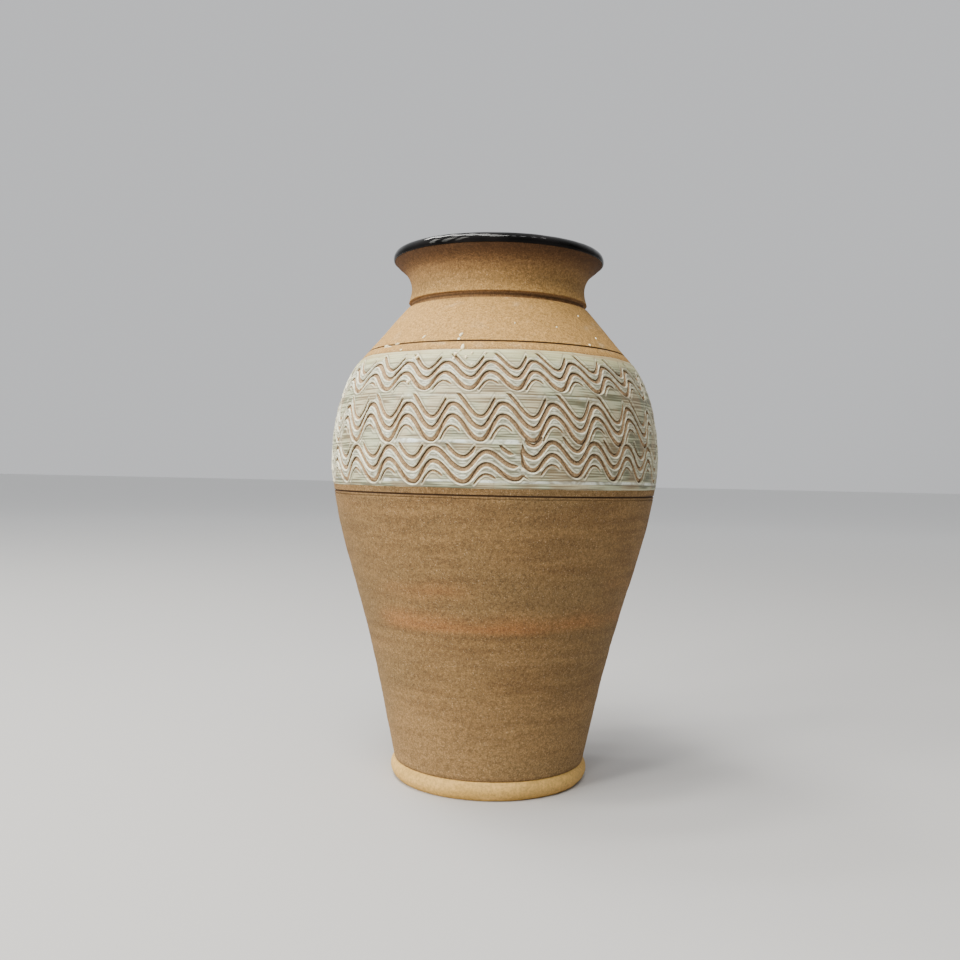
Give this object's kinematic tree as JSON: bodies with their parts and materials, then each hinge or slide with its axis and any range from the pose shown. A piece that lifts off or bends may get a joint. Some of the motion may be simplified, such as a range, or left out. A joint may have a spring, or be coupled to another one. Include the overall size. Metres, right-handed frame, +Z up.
{
  "type": "stoneware vase",
  "caption": "Baluster-shaped stoneware vase with a flared rim in black glaze, a pale slip band combed with waves round the belly, and a rolled foot.",
  "frame": {"origin": "centre of the circle that the foot stands on", "axes": "+Z up along the axis that the pot was turned about; X and Y are level and have no natural direction"},
  "size_m": [0.1562, 0.1562, 0.25],
  "materials": {
    "stoneware_clay": "unglazed, sandy matt",
    "smooth_clay": "unglazed, sponged smooth",
    "pale_slip": "matt slip, combed through to the clay",
    "black_glaze": "glossy black",
    "lining_glaze": "glossy black, poured"
  },
  "bodies": {
    "root": {"foot_ring": "smooth_clay", "lower_body": "stoneware_clay", "band_wall": "stoneware_clay", "upper_shoulder": "stoneware_clay", "neck_collar": "stoneware_clay", "slip_band": "pale_slip", "rim_glaze": "black_glaze", "liner_glaze": "lining_glaze"}
  },
  "joints": []
}
